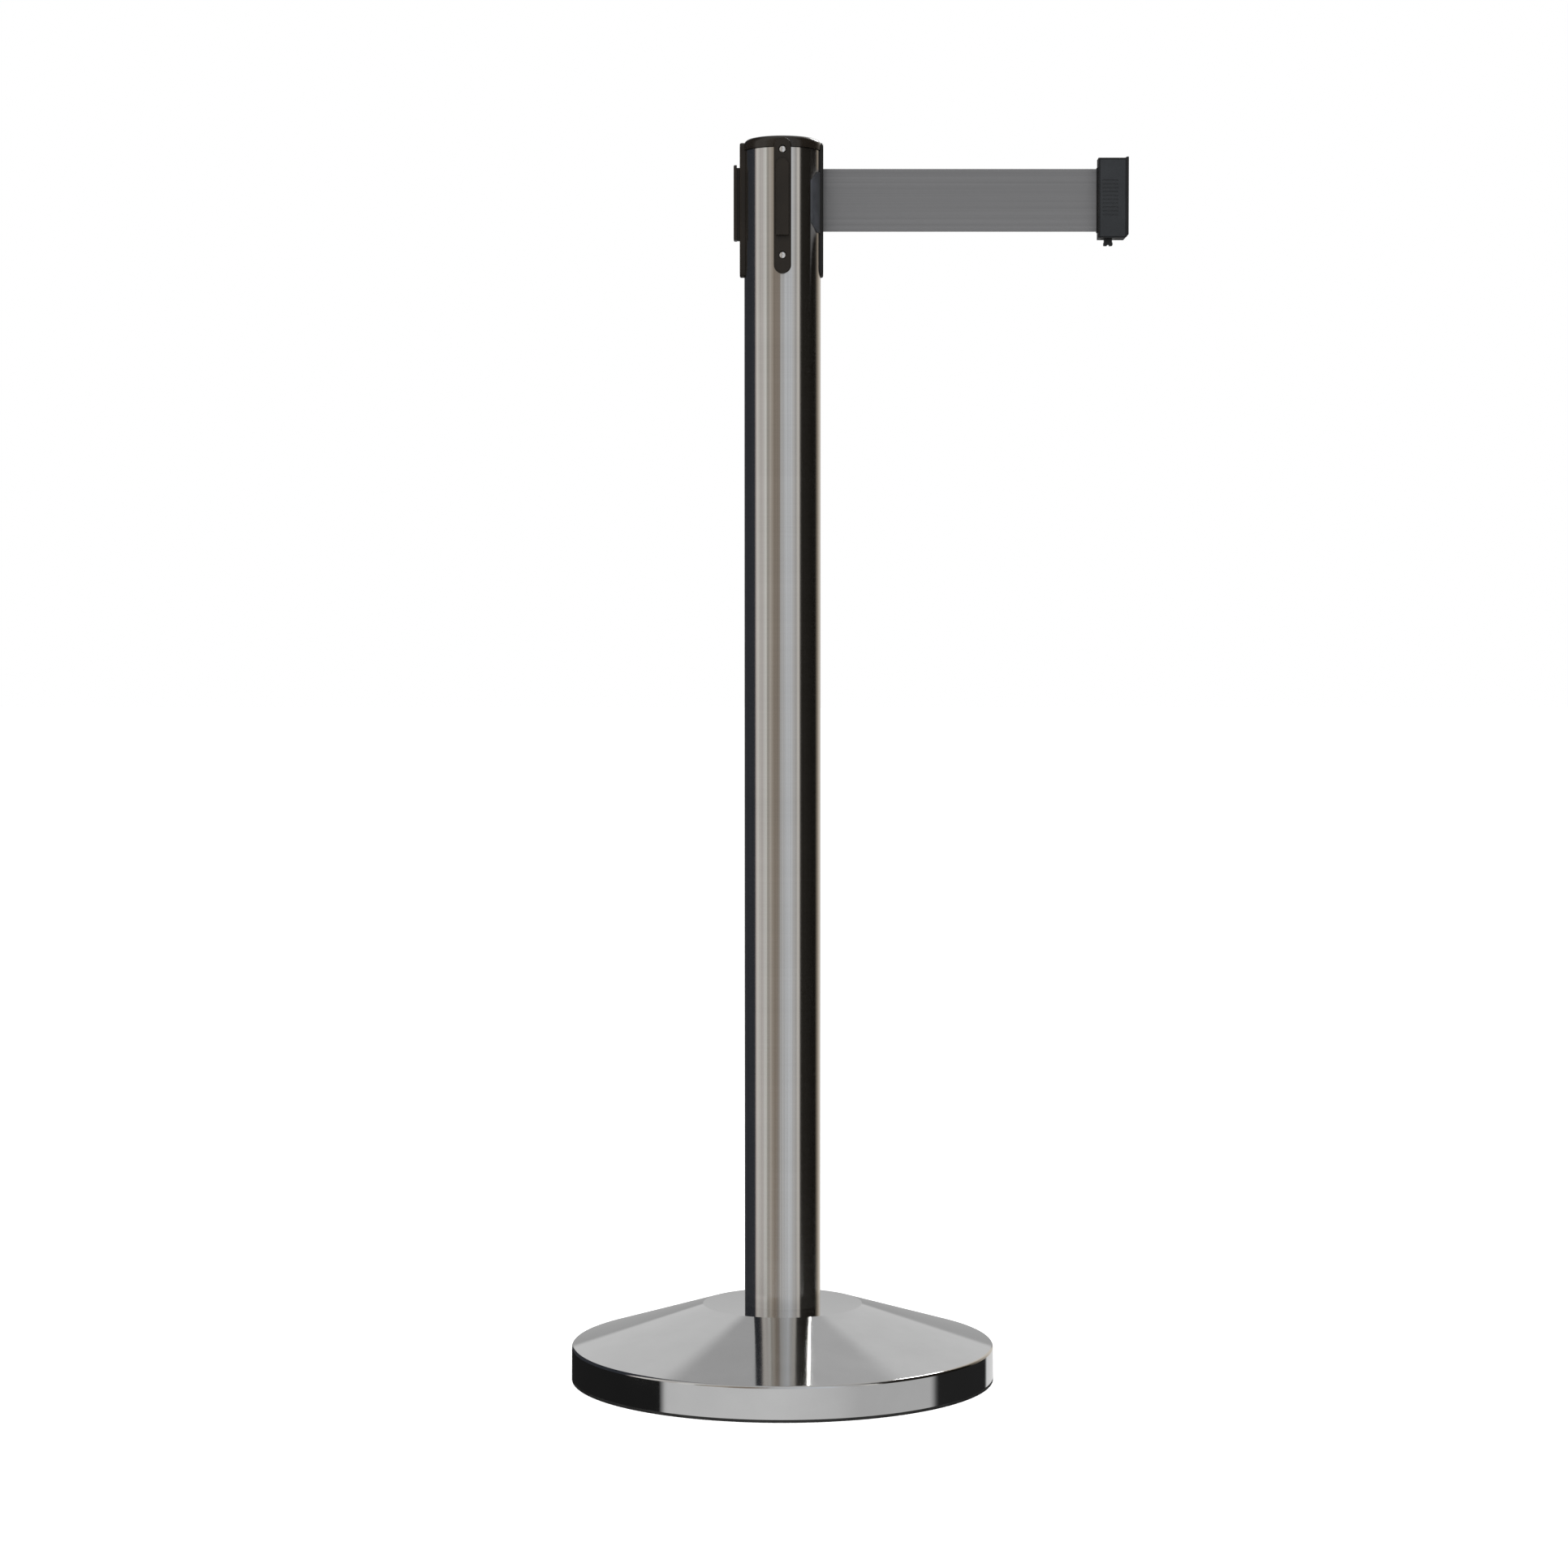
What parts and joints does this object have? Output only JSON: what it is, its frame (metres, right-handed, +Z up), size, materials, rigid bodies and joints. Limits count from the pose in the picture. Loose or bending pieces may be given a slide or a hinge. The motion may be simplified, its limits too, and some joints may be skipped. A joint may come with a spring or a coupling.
{
  "type": "retractable belt stanchion",
  "caption": "Free-standing queue post with a domed weighted base, brushed round tube, three belt receivers and a self-retracting webbing belt that ends in a push-to-release clip.",
  "frame": {"origin": "centre of the base on the floor", "axes": "+Z up along the post, +X the way the belt leaves the head, -Y the front receiver"},
  "size_m": [0.4382, 0.334, 0.9774],
  "materials": {
    "tube_steel": "fine brushed stainless, brushed round the tube",
    "base_steel": "satin stainless sheet",
    "weight_iron": "rough casting, primed",
    "ring_rubber": "matte",
    "zinc_steel": "zinc plated",
    "spring_steel": "blued spring steel",
    "rivet_aluminium": "bright",
    "bush_brass": "turned",
    "head_plastic": "fine moulded texture",
    "clip_plastic": "fine moulded texture",
    "cassette_plastic": "moulded nylon",
    "belt_webbing": "woven polyester"
  },
  "bodies": {
    "post": {"floor_ring": "ring_rubber", "base_cover": "base_steel", "base_weight": "weight_iron", "bolt_washer": "zinc_steel", "spring_washer": "zinc_steel", "tie_bolt": "zinc_steel", "tube_foot_plug": "zinc_steel", "post_tube": "tube_steel", "receiver_front": "head_plastic", "receiver_left": "head_plastic", "receiver_back": "head_plastic", "belt_exit_bezel": "head_plastic", "top_cap": "head_plastic", "blind_rivets": "rivet_aluminium", "cassette_housing": "cassette_plastic", "cassette_lid": "cassette_plastic", "cassette_screws": "zinc_steel", "reel_shaft": "zinc_steel", "thrust_washer": "zinc_steel", "retaining_ring": "spring_steel", "belt_lead_in": "belt_webbing"},
    "reel": {"reel_drum": "cassette_plastic", "lower_bush": "bush_brass", "upper_bush": "bush_brass", "spring_case": "cassette_plastic", "mainspring": "spring_steel", "belt_roll": "belt_webbing"},
    "belt_end": {"belt_strip": "belt_webbing", "belt_anchor_pin": "zinc_steel", "clip_body": "clip_plastic", "clip_cover": "clip_plastic", "clip_screws": "zinc_steel", "lock_spring": "spring_steel"},
    "lock": {"lock_slider": "clip_plastic"}
  },
  "joints": [
    {"name": "belt_pull", "type": "slide", "parent": "post", "child": "belt_end", "axis": [1, 0, 0], "range_m": [-0.214, 1.787], "stiffness_N_per_m": 2, "springref_m": -3, "deforming": ["belt_strip"]},
    {"name": "reel_spin", "type": "hinge", "parent": "post", "child": "reel", "pos_m": [0, 0, 0.929], "axis": [0, 0, 1], "range_deg": [-730, 6100], "deforming": ["mainspring"]},
    {"name": "lock_press", "type": "slide", "parent": "belt_end", "child": "lock", "axis": [-0.7071, 0, 0.7071], "range_m": [0, 0.003], "stiffness_N_per_m": 400, "springref_m": -0.004, "deforming": ["lock_spring"]}
  ],
  "couplings": [
    {"joint": "reel_spin", "follows": "belt_pull", "rad_per_m": 59.5}
  ]
}
